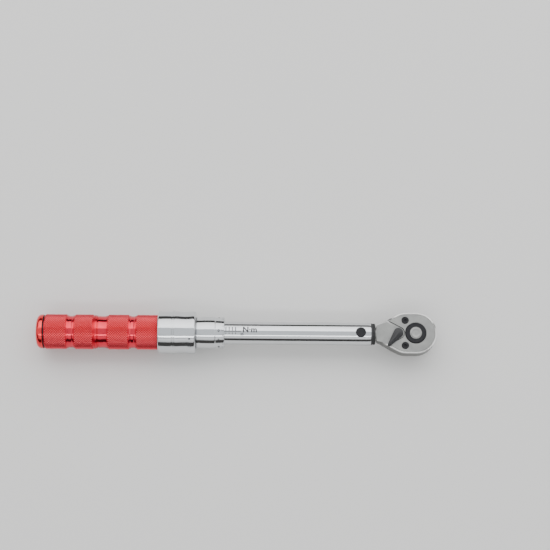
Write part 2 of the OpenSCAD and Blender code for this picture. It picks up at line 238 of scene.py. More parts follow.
def new_finish(name, colour, metallic, roughness):
    """A material with a principled shader. Returns the material, its tree, shader and coordinates."""
    material = bpy.data.materials.new(name)
    material.use_nodes = True
    tree = material.node_tree
    shader = tree.nodes["Principled BSDF"]
    shader.inputs["Base Color"].default_value = linear(colour)
    shader.inputs["Metallic"].default_value = metallic
    shader.inputs["Roughness"].default_value = roughness
    place = add_node(tree, "ShaderNodeTexCoord").outputs["Object"]
    return material, tree, shader, place


def per_mm(size):
    """The noise scale that gives blotches about size mm across."""
    return 1 / (size * MM)


NOISE_LOW = 0.3
NOISE_HIGH = 0.7
print("finish helpers ready")

# %% [markdown]
# The tube, thimble and collar are steel, ground and polished, then plated with nickel and bright chrome.
# The eye sees a near mirror with a cool tint, fine rings left by the polishing belt and faint smears
# from handling. The rings run round the piece, so their noise is stretched across the wrench.

# %% Bright chrome plate
ROUND_THE_WRENCH = (1.0, 0.02, 0.02)


def bright_chrome():
    material, tree, shader, place = new_finish("bright chrome plate", "CFD1D3", 1.0, 0.07)
    stretched = add_node(tree, "ShaderNodeMapping", {"Vector": place, "Scale": ROUND_THE_WRENCH})
    rings = add_node(tree, "ShaderNodeTexNoise", {
        "Vector": stretched.outputs["Vector"], "Scale": per_mm(0.12), "Detail": 1.0})
    smears = add_node(tree, "ShaderNodeTexNoise", {"Vector": place, "Scale": per_mm(9.0), "Detail": 3.0})
    gloss = add_node(tree, "ShaderNodeMapRange", {
        "Value": smears.outputs["Fac"], "From Min": NOISE_LOW, "From Max": NOISE_HIGH,
        "To Min": 0.05, "To Max": 0.11})
    tree.links.new(gloss.outputs["Result"], shader.inputs["Roughness"])
    bump = add_node(tree, "ShaderNodeBump", {"Height": rings.outputs["Fac"], "Distance": 0.0004 * MM})
    tree.links.new(bump.outputs["Normal"], shader.inputs["Normal"])
    return material


BRIGHT_CHROME = bright_chrome()
print(BRIGHT_CHROME.name)

# %% [markdown]
# The head is forged, shot-blasted and plated with satin chrome. Blasting leaves pits about a tenth of a
# millimetre across, so it glows softly instead of mirroring. Handling polishes it in patches.

# %% Satin chrome plate
def satin_chrome():
    material, tree, shader, place = new_finish("satin chrome plate", "929290", 1.0, 0.36)
    pits = add_node(tree, "ShaderNodeTexNoise", {
        "Vector": place, "Scale": per_mm(0.22), "Detail": 3.0, "Roughness": 0.6})
    patches = add_node(tree, "ShaderNodeTexNoise", {"Vector": place, "Scale": per_mm(6.0), "Detail": 2.0})
    gloss = add_node(tree, "ShaderNodeMapRange", {
        "Value": patches.outputs["Fac"], "From Min": NOISE_LOW, "From Max": NOISE_HIGH,
        "To Min": 0.32, "To Max": 0.42})
    tree.links.new(gloss.outputs["Result"], shader.inputs["Roughness"])
    share = add_node(tree, "ShaderNodeMapRange", {
        "Value": patches.outputs["Fac"], "From Min": NOISE_LOW, "From Max": NOISE_HIGH})
    tint = add_node(tree, "ShaderNodeMix", {
        "Factor": share.outputs["Result"], "A": linear("8C8C8A"), "B": linear("999996")}, data_type="RGBA")
    tree.links.new(tint.outputs["Result"], shader.inputs["Base Color"])
    bump = add_node(tree, "ShaderNodeBump", {"Height": pits.outputs["Fac"], "Distance": 0.012 * MM})
    tree.links.new(bump.outputs["Normal"], shader.inputs["Normal"])
    return material


# Painted highlight: a lighter, glossier chrome for the head's rim chamfer and broken edges.
def rubbed_chrome():
    material, tree, shader, place = new_finish("satin chrome plate, edges rubbed bright", "D2D2D0", 1.0, 0.16)
    scuffs = add_node(tree, "ShaderNodeTexNoise", {"Vector": place, "Scale": per_mm(0.8), "Detail": 3.0})
    gloss = add_node(tree, "ShaderNodeMapRange", {
        "Value": scuffs.outputs["Fac"], "From Min": NOISE_LOW, "From Max": NOISE_HIGH,
        "To Min": 0.12, "To Max": 0.24})
    tree.links.new(gloss.outputs["Result"], shader.inputs["Roughness"])
    grain = add_node(tree, "ShaderNodeTexNoise", {"Vector": place, "Scale": per_mm(0.3), "Detail": 2.0})
    bump = add_node(tree, "ShaderNodeBump", {"Height": grain.outputs["Fac"], "Distance": 0.004 * MM})
    tree.links.new(bump.outputs["Normal"], shader.inputs["Normal"])
    return material


SATIN_CHROME = satin_chrome()
PAINTED_HIGHLIGHT_CHROME = rubbed_chrome()
print(SATIN_CHROME.name, PAINTED_HIGHLIGHT_CHROME.name)

# %% [markdown]
# The grip and its cap are aluminium, cut and then anodised: acid opens pores in the oxide, red dye fills
# them and hot water seals them. The metal shines through the dye, so the colour is in the reflection.
# The knurl's points are painted paler as a painted highlight, and the knurl's floor between them a darker red
# as painted shade. The grooves and the cap are turned smooth, so they shine. How far a point lies from the axis
# tells which is which.

# %% Red anodised aluminium
def from_axis(tree, place):
    """Distance from the wrench's long axis, in metres."""
    apart = add_node(tree, "ShaderNodeVectorMath", {0: place, 1: (0, 0, AXIS_Z)}, operation="SUBTRACT")
    flat = add_node(tree, "ShaderNodeVectorMath", {
        0: apart.outputs["Vector"], 1: (0, 1, 1)}, operation="MULTIPLY")
    length = add_node(tree, "ShaderNodeVectorMath", {0: flat.outputs["Vector"]}, operation="LENGTH")
    return length.outputs["Value"]


KNURL_DEPTH = 0.48


def red_knurled():
    material, tree, shader, place = new_finish("red anodised aluminium, knurled", "C8303F", 1.0, 0.3)
    distance = from_axis(tree, place)
    knurl_floor = (radius("grip") - KNURL_DEPTH) * MM
    # Painted highlight: how close a point lies to the knurl's tips sets how much paler it is painted.
    point_highlight_mask = add_node(tree, "ShaderNodeMapRange", {
        "Value": distance, "From Min": knurl_floor, "From Max": radius("grip") * MM})
    lands = add_node(tree, "ShaderNodeMapRange", {
        "Value": distance, "From Min": knurl_floor - 0.35 * MM, "From Max": knurl_floor - 0.1 * MM})
    cloud = add_node(tree, "ShaderNodeTexNoise", {"Vector": place, "Scale": per_mm(3.0), "Detail": 3.0})
    dye = add_node(tree, "ShaderNodeMix", {
        "Factor": cloud.outputs["Fac"], "A": linear("D82F40"), "B": linear("E83E50")}, data_type="RGBA")
    # Painted shade: the knurled lands, down at the floor between the points, are painted a darker red.
    painted_land_shade = add_node(tree, "ShaderNodeMix", {
        "Factor": lands.outputs["Result"], "A": dye.outputs["Result"],
        "B": linear("D01E30")}, data_type="RGBA")
    # Painted highlight: the knurl's points are painted paler towards their tips.
    painted_point_highlight = add_node(tree, "ShaderNodeMix", {
        "Factor": point_highlight_mask.outputs["Result"], "A": painted_land_shade.outputs["Result"],
        "B": linear("FF7A83")}, data_type="RGBA")
    tree.links.new(painted_point_highlight.outputs["Result"], shader.inputs["Base Color"])
    gloss = add_node(tree, "ShaderNodeMapRange", {
        "Value": lands.outputs["Result"], "To Min": 0.13, "To Max": 0.34})
    tree.links.new(gloss.outputs["Result"], shader.inputs["Roughness"])
    grain = add_node(tree, "ShaderNodeTexNoise", {"Vector": place, "Scale": per_mm(0.15), "Detail": 2.0})
    bump = add_node(tree, "ShaderNodeBump", {"Height": grain.outputs["Fac"], "Distance": 0.001 * MM})
    tree.links.new(bump.outputs["Normal"], shader.inputs["Normal"])
    return material


def red_turned():
    material, tree, shader, place = new_finish("red anodised aluminium, turned smooth", "C8303F", 1.0, 0.2)
    dye = add_node(tree, "ShaderNodeTexNoise", {"Vector": place, "Scale": per_mm(3.0), "Detail": 3.0})
    tone = add_node(tree, "ShaderNodeMix", {
        "Factor": dye.outputs["Fac"], "A": linear("E2373C"), "B": linear("F4484B")}, data_type="RGBA")
    tree.links.new(tone.outputs["Result"], shader.inputs["Base Color"])
    gloss = add_node(tree, "ShaderNodeMapRange", {
        "Value": dye.outputs["Fac"], "From Min": NOISE_LOW, "From Max": NOISE_HIGH,
        "To Min": 0.14, "To Max": 0.24})
    tree.links.new(gloss.outputs["Result"], shader.inputs["Roughness"])
    stretched = add_node(tree, "ShaderNodeMapping", {"Vector": place, "Scale": ROUND_THE_WRENCH})
    rings = add_node(tree, "ShaderNodeTexNoise", {
        "Vector": stretched.outputs["Vector"], "Scale": per_mm(0.12), "Detail": 1.0})
    bump = add_node(tree, "ShaderNodeBump", {"Height": rings.outputs["Fac"], "Distance": 0.0006 * MM})
    tree.links.new(bump.outputs["Normal"], shader.inputs["Normal"])
    return material


RED_KNURLED = red_knurled()
RED_TURNED = red_turned()
print(RED_KNURLED.name, RED_TURNED.name)

# %% [markdown]
# Many finishes are plain: their tone and roughness wander a little over the surface, which also has a
# fine grain. One function makes them all, from colours, sizes in millimetres and roughnesses.

# %% Plain finishes
def plain_finish(
        name, colour, metallic, roughness, dark, light, cloud_mm, smooth, rough, grain_mm=0, depth=0):
    """A finish that wanders from dark and smooth to light and rough, with a grain depth mm deep."""
    material, tree, shader, place = new_finish(name, colour, metallic, roughness)
    cloud = add_node(tree, "ShaderNodeTexNoise", {"Vector": place, "Scale": per_mm(cloud_mm), "Detail": 3.0})
    tone = add_node(tree, "ShaderNodeMix", {
        "Factor": cloud.outputs["Fac"], "A": linear(dark), "B": linear(light)}, data_type="RGBA")
    tree.links.new(tone.outputs["Result"], shader.inputs["Base Color"])
    gloss = add_node(tree, "ShaderNodeMapRange", {
        "Value": cloud.outputs["Fac"], "From Min": NOISE_LOW, "From Max": NOISE_HIGH,
        "To Min": smooth, "To Max": rough})
    tree.links.new(gloss.outputs["Result"], shader.inputs["Roughness"])
    if grain_mm:
        grain = add_node(tree, "ShaderNodeTexNoise", {
            "Vector": place, "Scale": per_mm(grain_mm), "Detail": 2.0})
        bump = add_node(tree, "ShaderNodeBump", {"Height": grain.outputs["Fac"], "Distance": depth * MM})
        tree.links.new(bump.outputs["Normal"], shader.inputs["Normal"])
    return material


def plain_metal(name, dark, light, smooth, rough, grain_mm, depth):
    """A bare metal, which wanders over about 4 mm."""
    return plain_finish(name, light, 1.0, rough, dark, light, 4.0, smooth, rough, grain_mm, depth)


print("plain finishes ready")

# %% [markdown]
# The dark pieces are steel with a black oxide skin, a hot salt bath's thin crust that is kept oily. It is
# almost black, a little shiny, and rubs to bare steel where it is touched most. The lever is cast zinc
# with a black powder coat, whose skin has the faint dimples of orange peel.

# %% Black oxide steel, and the lever's black coat
def black_coat():
    material, tree, shader, place = new_finish("black powder coat on cast zinc", "29292B", 0.0, 0.38)
    orange_peel = add_node(tree, "ShaderNodeTexNoise", {
        "Vector": place, "Scale": per_mm(0.45), "Detail": 1.0})
    wear = add_node(tree, "ShaderNodeTexNoise", {"Vector": place, "Scale": per_mm(2.5), "Detail": 2.0})
    gloss = add_node(tree, "ShaderNodeMapRange", {
        "Value": wear.outputs["Fac"], "From Min": NOISE_LOW, "From Max": NOISE_HIGH,
        "To Min": 0.32, "To Max": 0.46})
    tree.links.new(gloss.outputs["Result"], shader.inputs["Roughness"])
    cloud = add_node(tree, "ShaderNodeTexNoise", {"Vector": place, "Scale": per_mm(2.0), "Detail": 2.0})
    tone = add_node(tree, "ShaderNodeMix", {
        "Factor": cloud.outputs["Fac"], "A": linear("141416"), "B": linear("242426")}, data_type="RGBA")
    tree.links.new(tone.outputs["Result"], shader.inputs["Base Color"])
    bump = add_node(tree, "ShaderNodeBump", {"Height": orange_peel.outputs["Fac"], "Distance": 0.02 * MM})
    tree.links.new(bump.outputs["Normal"], shader.inputs["Normal"])
    return material


BLACK_OXIDE = plain_finish(
    "black oxide steel", "2C2C2E", 0.7, 0.4, "1B1B1D", "303032", 1.6, 0.34, 0.5, 0.2, 0.006)
BLACK_COAT = black_coat()
print(BLACK_OXIDE.name, BLACK_COAT.name)

# %% [markdown]
# The button is steel that is turned, then blasted with glass beads to a soft grey. The working pieces
# inside are ground steel, the balls are lapped, the springs are drawn wire and the nut is brass. The dust
# ring is moulded nitrile rubber, matt and greyed by bloom.

# %% Steels, brass and rubber
BEAD_BLASTED = plain_metal("bead-blasted steel", "8E8E8C", "9C9C9A", 0.38, 0.48, 0.18, 0.01)
GROUND_STEEL = plain_metal("ground steel", "8F9092", "A9AAAB", 0.24, 0.36, 0.12, 0.003)
BALL_STEEL = plain_metal("lapped bearing steel", "B4B5B7", "C6C7C8", 0.06, 0.12, 0.3, 0.0005)
SPRING_WIRE = plain_metal("drawn spring wire", "4C4E52", "6A6C70", 0.28, 0.4, 0.1, 0.004)
# Painted shade: a darker, duller chrome for the head's outward walls.
PAINTED_SHADE_WALL_CHROME = plain_metal("chrome over an as-forged skin", "6E6E6C", "7E7E7C", 0.34, 0.46, 0.5, 0.02)
BRASS = plain_metal("free-cutting brass", "A98A4C", "C7A860", 0.22, 0.34, 0.15, 0.003)
RUBBER = plain_finish(
    "moulded nitrile rubber", "242425", 0.0, 0.62, "1C1C1D", "333334", 2.0, 0.52, 0.7, 0.3, 0.02)
print("metals and rubber ready")

# %% [markdown]
# The scale and the dial are etched by a laser, which leaves a dark, dull oxide in the plate. The marks
# are drawn as very thin pieces, a few hundredths of a millimetre proud, so that they stay crisp.

# %% Laser-etched marks
ETCHED = plain_finish("laser-etched oxide", "2A2B2D", 0.3, 0.6, "1E1F21", "46474A", 0.4, 0.5, 0.7)
print(ETCHED.name)

# %% [markdown]
# ## Putting a piece on the wrench
# A finished piece gets its material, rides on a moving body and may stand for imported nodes, which are
# then hidden but still carry the collision.

# %% Mounting helper
def mount(obj, body, material, nodes=()):
    obj.data.materials.clear()
    obj.data.materials.append(material)
    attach(obj, body)
    if nodes:
        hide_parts(*nodes)
    return obj


def dress(node, material):
    """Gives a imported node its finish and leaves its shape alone."""
    obj = bpy.data.objects[node]
    for holder in obj.material_slots:
        holder.material = material


print("mounting ready")

# %% [markdown]
# ## The grip
# The real grip is a thick aluminium sleeve. A form tool cuts its smooth grooves, and two toothed wheels
# are pressed into the lands between them and roll out a diamond knurl. Here the sleeve is turned with
# a ring at every diamond, and the diamonds are raised from its faces.

# %% Turn the grip
KNURL_AROUND = 44
KNURL_STEP = 1.7
GRIP_FRONT, GRIP_REAR = span("grip")
GRIP_R = radius("grip")
LAND_R = GRIP_R - KNURL_DEPTH
LANDS = [(178.0, 195.6), (200.6, 215.6), (225.5, 238.9), (244.2, GRIP_REAR - 0.1)]


def land_rings(front, rear):
    """Rings across a knurled land, with a small chamfer at each end."""
    count = round((rear - front - 0.4) / KNURL_STEP)
    step = (rear - front - 0.4) / count
    inner = [(front + 0.2 + i * step, LAND_R) for i in range(count + 1)]
    return [(front, LAND_R - 0.2)] + inner + [(rear, LAND_R - 0.2)]


def narrow_groove(front, rear):
    """A groove with two rounded flanks that meet a flat floor."""
    floor = GRIP_R - 1.1
    width = rear - front
    return [(front + 0.12 * width, floor + 0.3), (front + 0.25 * width, floor),
            (rear - 0.25 * width, floor), (rear - 0.12 * width, floor + 0.3)]


def wide_groove(front, rear):
    """A groove in two parts: a broad floor with a soft dip, a thin line, and a narrow ledge."""
    floor = GRIP_R - 1.1
    return [(front + 0.7, floor + 0.25), (front + 1.6, floor), (front + 3.4, floor - 0.06),
            (front + 5.0, floor), (front + 5.8, floor + 0.15), (front + 6.1, floor - 0.25), (front + 6.5, floor - 0.25),
            (front + 6.8, floor + 0.35), (front + 7.8, floor + 0.4), (rear - 0.5, floor + 0.65)]


grip_rings = land_rings(*LANDS[0]) + narrow_groove(196.0, 200.2)
grip_rings += land_rings(*LANDS[1]) + wide_groove(216.0, 225.1)
grip_rings += land_rings(*LANDS[2]) + narrow_groove(239.3, 243.8)
grip_rings += land_rings(*LANDS[3])
bore = [(GRIP_REAR, GRIP_R - 0.7), (GRIP_REAR, 8.5), (238.0, 8.5), (238.0, 10.0), (GRIP_FRONT, 10.0)]
grip = turned("knurled_grip", grip_rings + bore, KNURL_AROUND)
print("grip faces", len(grip.data.polygons))

# %% [markdown]
# To get diamonds, each small square on a land is poked into four triangles and the old square edges are
# dissolved. What is left is a net of diamonds, and poking those outwards raises a point on each.

# %% Raise the knurl
def on_land(point):
    """True for a point on the rolled part of a land."""
    x = -point.x / MM
    r = math.hypot(point.y, point.z - AXIS_Z) / MM
    inside = any(front + 0.19 < x < rear - 0.19 for front, rear in LANDS)
    return inside and abs(r - LAND_R) < 0.08


def square_edge(edge):
    """True for an edge that runs along or straight around the wrench inside a land."""
    a, b = (v.co for v in edge.verts)
    along = abs(a.x - b.x)
    around = (Vector((0, a.y, a.z)) - Vector((0, b.y, b.z))).length
    return on_land(a) and on_land(b) and len(edge.link_faces) == 2 and (
        along < 0.01 * MM or around < 0.01 * MM) and all(
        on_land(v.co) for face in edge.link_faces for v in face.verts)


only(grip)
bpy.ops.object.mode_set(mode="EDIT")
pick(grip, "faces", lambda face: all(on_land(v.co) for v in face.verts))
bpy.ops.mesh.poke(offset=0.0)
pick(grip, "edges", square_edge)
bpy.ops.mesh.dissolve_edges(use_verts=False)
pick(grip, "faces", lambda face: len(face.verts) == 4 and all(on_land(v.co) for v in face.verts))
bpy.ops.mesh.poke(offset=KNURL_DEPTH * MM)
finish_piece(grip, "knurled_grip", 20)
mount(grip, "handle", RED_KNURLED, ["grip"])
print("knurled grip faces", len(grip.data.polygons))

# %% [markdown]
# ## The end cap
# A turned plug with a round corner closes the butt end. It is grown from its spigot outwards, and the end
# is filled. A thin dark gap is left between it and the grip. What lies at the bottom of the real gap is not
# known; its floor and front wall take the blackened finish as painted shade, which keeps the gap dark in
# any light.

# %% End cap
CAP_FRONT, CAP_REAR = span("end_cap")
SEAM = GRIP_REAR
SEAM_REAR = SEAM + 1.0
SEAM_FLOOR_R = GRIP_R - 1.9
cap_rings = [(CAP_FRONT, 8.1), (CAP_FRONT + 0.4, 8.5), (SEAM, 8.5), (SEAM, SEAM_FLOOR_R),
             (SEAM_REAR, SEAM_FLOOR_R), (SEAM_REAR, GRIP_R - 0.5), (SEAM_REAR + 0.15, GRIP_R - 0.35), (SEAM_REAR + 0.6, GRIP_R - 0.3)]
cap_rings += arc((CAP_REAR - 3.2, GRIP_R - 3.5), 3.2, 90, 10, 12)
cap_rings += [(CAP_REAR, GRIP_R - 5.1), (CAP_REAR, 4.0)]
cap = turned("butt_cap", cap_rings, 96, hollow=False)
mount(cap, "handle", RED_TURNED, ["end_cap"])
# Painted shade: the seam's floor and front wall take the blackened finish to stand for the shade in the gap.
cap.data.materials.append(BLACK_OXIDE)
only(cap)
bpy.ops.object.mode_set(mode="EDIT")
pick(cap, "faces", lambda face: all(
    -v.co.x < SEAM_REAR * MM + 0.01 * MM and math.hypot(v.co.y, v.co.z - AXIS_Z) < (GRIP_R - 0.45) * MM
    for v in face.verts))
cap.active_material_index = 1
bpy.ops.object.material_slot_assign()
bpy.ops.object.mode_set(mode="OBJECT")
print("cap faces", len(cap.data.polygons))

# %% [markdown]
# ## The lock collar
# The collar is a heavy turned ring. Its outside rises to a crisp ridge, falls to a waist and flares
# again, so that a thumb can pull it towards the butt. Its plate is bright.

# %% Lock collar
COLLAR_FRONT, COLLAR_REAR = span("lock_collar")
COLLAR_R = radius("lock_collar")


def waist(x):
    """Radius of the collar's long hollow in front of its ridge."""
    front, rear = COLLAR_FRONT + 1.2, COLLAR_REAR - 12.2
    t = (x - front) / (rear - front)
    return COLLAR_R - 0.4 - 0.4 * math.sin(math.pi * min(max(t, 0), 1)) ** 2


collar_rings = [(COLLAR_FRONT, 11.2), (COLLAR_FRONT, COLLAR_R - 1.2), (COLLAR_FRONT + 0.2, COLLAR_R - 0.8),
                (COLLAR_FRONT + 0.6, COLLAR_R - 0.55)]
collar_rings += [(COLLAR_FRONT + 1.2 + i * 1.0, waist(COLLAR_FRONT + 1.2 + i * 1.0)) for i in range(14)]
collar_rings += [(168.7, COLLAR_R - 0.3), (169.2, COLLAR_R - 0.04), (169.4, COLLAR_R), (169.7, COLLAR_R),
                 (169.9, COLLAR_R - 0.04), (170.5, COLLAR_R - 0.3), (171.0, COLLAR_R - 0.35),
                 (COLLAR_REAR - 0.9, COLLAR_R - 0.35), (COLLAR_REAR - 0.5, COLLAR_R - 0.48),
                 (COLLAR_REAR - 0.15, COLLAR_R - 0.85), (COLLAR_REAR, COLLAR_R - 1.3)]
collar_rings += [(COLLAR_REAR, 12.5), (166.0, 12.5), (166.0, 10.06), (161.5, 10.06), (161.5, 10.34)]
collar = turned("lock_collar_turned", collar_rings, 128)
mount(collar, "collar", BRIGHT_CHROME, ["lock_collar"])
print("collar radius mm", round(COLLAR_R, 2))

# %% [markdown]
# ## Thimble, tube and dust ring
# The thimble carries the dial on a short cone that slopes down to the tube. The tube's front edge is
# rolled a little inwards over the rubber ring that keeps dust out of the head's pivot.

# %% Thimble
THIMBLE_FRONT, THIMBLE_REAR = span("thimble")
THIMBLE_R = radius("thimble")
CONE_REAR = THIMBLE_FRONT + 6.2
EDGE_R = THIMBLE_R - 0.55
thimble_rings = [(THIMBLE_FRONT, 8.15), (THIMBLE_FRONT, EDGE_R - 0.35), (THIMBLE_FRONT + 0.12, EDGE_R - 0.12),
                 (THIMBLE_FRONT + 0.35, EDGE_R), (CONE_REAR, THIMBLE_R - 0.4),
                 (CONE_REAR + 0.3, THIMBLE_R - 0.12), (CONE_REAR + 0.8, THIMBLE_R),
                 (THIMBLE_REAR - 0.5, THIMBLE_R), (THIMBLE_REAR - 0.15, THIMBLE_R - 0.15),
                 (THIMBLE_REAR, THIMBLE_R - 0.5), (THIMBLE_REAR, 10.0), (136.0, 10.0), (136.0, 8.15)]
thimble = turned("thimble_turned", thimble_rings, 128)
mount(thimble, "handle", BRIGHT_CHROME, ["thimble"])
print("thimble", round(THIMBLE_FRONT, 1), round(THIMBLE_REAR, 1))

# %% Tube and dust ring
TUBE_FRONT, TUBE_REAR = span("tube")
TUBE_R = radius("tube")
TUBE_IN_R = 6.5
PIN_HEAD_R = 3.6
PIN_R = 2.6
PIN_X = -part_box("pivot_pin")[0][0] / MM - PIN_HEAD_R
NUT_PIN_X = 209
NUT_PIN_R = 1.25
tube_rings = [(TUBE_FRONT, TUBE_IN_R), (TUBE_FRONT, TUBE_R - 0.4), (TUBE_FRONT + 0.12, TUBE_R - 0.12),
              (TUBE_FRONT + 0.4, TUBE_R), (PIN_X - 4.2, TUBE_R), (PIN_X + 4.2, TUBE_R),
              (TUBE_REAR - 0.4, TUBE_R), (TUBE_REAR, TUBE_R - 0.4), (TUBE_REAR, TUBE_IN_R),
              (PIN_X + 4.2, TUBE_IN_R), (PIN_X - 4.2, TUBE_IN_R)]
tube = turned("tube_polished", tube_rings, 160)


def drill(obj, x, start, end, r):
    """Cuts a round hole down through a piece, between two heights from the long axis, in mm."""
    clear_selection()
    bpy.ops.mesh.primitive_cylinder_add(
        vertices=48, radius=r * MM, depth=(start - end) * MM,
        location=(-x * MM, 0, AXIS_Z + (start + end) / 2 * MM))
    cutter = bpy.context.object
    only(obj)
    cut = obj.modifiers.new("hole", "BOOLEAN")
    cut.operation = "DIFFERENCE"
    cut.solver = "EXACT"
    cut.object = cutter
    bpy.ops.object.modifier_apply(modifier=cut.name)
    only(cutter)
    bpy.ops.object.delete()
    only(obj)


drill(tube, PIN_X, 12, 0, PIN_HEAD_R)
drill(tube, PIN_X, 0, -12, PIN_R)
drill(tube, NUT_PIN_X, 12, -12, NUT_PIN_R)
finish_piece(tube, "tube_polished")
mount(tube, "barrel", BRIGHT_CHROME, ["tube"])

RING_FRONT, RING_REAR = span("dust_ring")
ring_rings = [(RING_FRONT, 5.5), (RING_FRONT, 6.6), (RING_FRONT + 0.1, 7.0), (RING_FRONT + 0.45, TUBE_R - 0.5),
              (RING_FRONT + 1.0, TUBE_R - 0.4), (RING_FRONT + 1.25, TUBE_R - 0.75),
              (RING_FRONT + 1.5, TUBE_R - 0.75), (RING_FRONT + 1.75, TUBE_R - 0.4), (TUBE_FRONT, TUBE_R - 0.4),
              (TUBE_FRONT, TUBE_IN_R), (RING_REAR, TUBE_IN_R), (RING_REAR, 5.6)]
dust_ring = turned("dust_ring_moulded", ring_rings, 96)
mount(dust_ring, "barrel", RUBBER, ["dust_ring"])
print("tube radius mm", round(TUBE_R, 2))

# %% [markdown]
# ## The head
# The forging, its cover plate, the drive and the small steel pieces keep the frame's shapes, with their
# edges broken. The forging's upper outline also has a shallow chamfer, painted a lighter, glossier chrome
# as a painted highlight: the edges between the top and the outward walls are bevelled, and the bevel's
# lower loop is then raised. The forging's broken edges take the same lighter chrome. The walls are painted
# a darker, duller chrome as painted shade. Chamfer and walls are both a reading of a light rim and a dark
# side, and the real finish may be the same all over.

# %% Forging
RIM_WIDTH = 0.85
RIM_DEPTH = 0.45
HEAD_MIDDLE = Vector((-3 * MM, 0, 0))
forging = clean_copy("head_forging", "forged_head")
mount(forging, "head", SATIN_CHROME, ["head_forging"])
# Painted highlight: the rim chamfer and the broken edges take the lighter chrome in the second slot.
forging.data.materials.append(PAINTED_HIGHLIGHT_CHROME)


def upper_outline(edge):
    """True for an edge between the top of the head and a wall that faces outwards."""
    if min(v.co.z for v in edge.verts) < HEAD_TOP - 0.8 * MM:
        return False
    middle = (edge.verts[0].co + edge.verts[1].co) / 2 - HEAD_MIDDLE
    tops = [face for face in edge.link_faces if face.normal.z > 0.9]
    walls = [face for face in edge.link_faces if abs(face.normal.z) < 0.1 and face.normal.dot(middle) > 0]
    return bool(tops and walls)


def rim_foot(vert):
    """True for the lower loop of the new chamfer, and not for the hub's bore."""
    return abs(vert.co.z - HEAD_TOP + RIM_WIDTH * MM) < 0.02 * MM and vert.co.xy.length > 7.6 * MM


def outer_wall(face):
    """True for a broad upright face that looks away from the middle of the head."""
    middle = face.calc_center_median()
    return (abs(face.normal.z) < 0.2 and face.calc_area() > 0.5 * MM * MM
            and face.normal.dot(middle - HEAD_MIDDLE) > 0 and middle.length > 14 * MM)


only(forging)
bpy.ops.object.mode_set(mode="EDIT")
pick(forging, "edges", upper_outline)
bpy.ops.mesh.bevel(offset=RIM_WIDTH * MM, segments=1)
forging.active_material_index = 1
bpy.ops.object.material_slot_assign()
pick(forging, "verts", rim_foot)
bpy.ops.transform.translate(value=(0, 0, (RIM_WIDTH - RIM_DEPTH) * MM))
# Painted shade: the outward walls take the darker chrome in the third slot.
forging.data.materials.append(PAINTED_SHADE_WALL_CHROME)
pick(forging, "faces", outer_wall)
forging.active_material_index = 2
bpy.ops.object.material_slot_assign()
finish_piece(forging, "forged_head")
bevel_edges(forging, 0.3, 3, 25, slot=1)
print("forging faces", len(forging.data.polygons))

# %% Other head pieces
HUB_R_TOP = 7.1 * MM
HUB_CHAMFER = 0.35
plate = clean_copy("cover_plate", "cover_plate_blasted")
bpy.ops.object.mode_set(mode="EDIT")
pick(plate, "edges", lambda edge: all(
    v.co.z > HEAD_TOP - 0.01 * MM and math.hypot(v.co.x, v.co.y) < HUB_R_TOP + 0.1 * MM for v in edge.verts))
bpy.ops.mesh.bevel(offset=HUB_CHAMFER * MM, segments=1)
finish_piece(plate, "cover_plate_blasted")
bevel_edges(plate, 0.16, 2, 40)
mount(plate, "head", SATIN_CHROME, ["cover_plate"])
screws = edge_broken("cover_screws", "cover_screws_oxide", 0.2, 2, 40)
mount(screws, "head", BLACK_OXIDE, ["cover_screws"])
drive = edge_broken("drive_gear", "drive_hub_oxide", 0.18, 2, 50)
mount(drive, "drive", BLACK_OXIDE, ["drive_gear"])
pin = edge_broken("pivot_pin", "pivot_pin_oxide", 0.25, 2, 40)
mount(pin, "barrel", BLACK_OXIDE, ["pivot_pin"])
print("head pieces ready")

# %% [markdown]
# The quick-release button is bead blasted, with a shallow dish for the thumb. The dish is made by
# insetting the top face: once for the rim, once while it sinks, and once more to crown its middle.

# %% Quick-release button
button = edge_broken("release_button", "release_button_crowned", 0.3, 3, 30)
BUTTON_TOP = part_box("release_button")[1][2]
only(button)
bpy.ops.object.mode_set(mode="EDIT")
pick(button, "faces", lambda face: (
    face.normal.z > 0.99 and abs(face.calc_center_median().z - BUTTON_TOP) < 0.05 * MM))
bpy.ops.mesh.inset(thickness=0.2 * MM)
bpy.ops.mesh.inset(thickness=0.55 * MM, depth=-0.22 * MM)
bpy.ops.mesh.inset(thickness=1.0 * MM, depth=0.04 * MM)
finish_piece(button, "release_button_crowned", 45)
mount(button, "button", BEAD_BLASTED, ["release_button"])
print("button top mm", round(BUTTON_TOP / MM, 2))

# %% [markdown]
# ## The reversing lever
# The real lever is a small zinc casting with a round hub, a tail for the thumb and a raised spine. Its
# outline is two circles and the tangents between them, so each layer starts as two cylinders whose
# convex hull is taken. The top face is then inset and lowered at the rim, which gives the cast edge.

# %% Reversing lever
LEVER_TURN = math.radians(53)
LEVER_AXIS = next(j["pos_m"] for j in frame["record"]["behaviour"]["joints"] if j["name"] == "lever_throw")
LEVER_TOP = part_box("reversing_lever")[1][2]
LEVER_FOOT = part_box("reversing_lever")[0][2]


def teardrop(hub, tip, start, reach, low, high, rim):
    """A closed teardrop layer: hub and tip radii, where each lies along the tail, and its heights, in mm."""
    clear_selection()
    deep = (high - low) * MM
    middle = (high + low) / 2 * MM
    bpy.ops.mesh.primitive_cylinder_add(
        vertices=40, radius=hub * MM, depth=deep, location=(-start * MM, 0, middle))
    layer = bpy.context.object
    bpy.ops.object.transform_apply(location=True)
    bpy.ops.object.mode_set(mode="EDIT")
    bpy.ops.mesh.primitive_cylinder_add(
        vertices=24, radius=tip * MM, depth=deep, location=(-reach * MM, 0, middle))
    bpy.ops.mesh.select_all(action="SELECT")
    bpy.ops.mesh.convex_hull()
    bpy.ops.mesh.dissolve_limited(angle_limit=math.radians(0.5))
    pick(layer, "faces", lambda face: face.normal.z > 0.99)
    bpy.ops.mesh.inset(thickness=rim * MM)
    bpy.ops.transform.translate(value=(0, 0, rim * 0.55 * MM))
    bpy.ops.mesh.select_all(action="SELECT")
    bpy.ops.mesh.normals_make_consistent(inside=False)
    bpy.ops.object.mode_set(mode="OBJECT")
    return layer


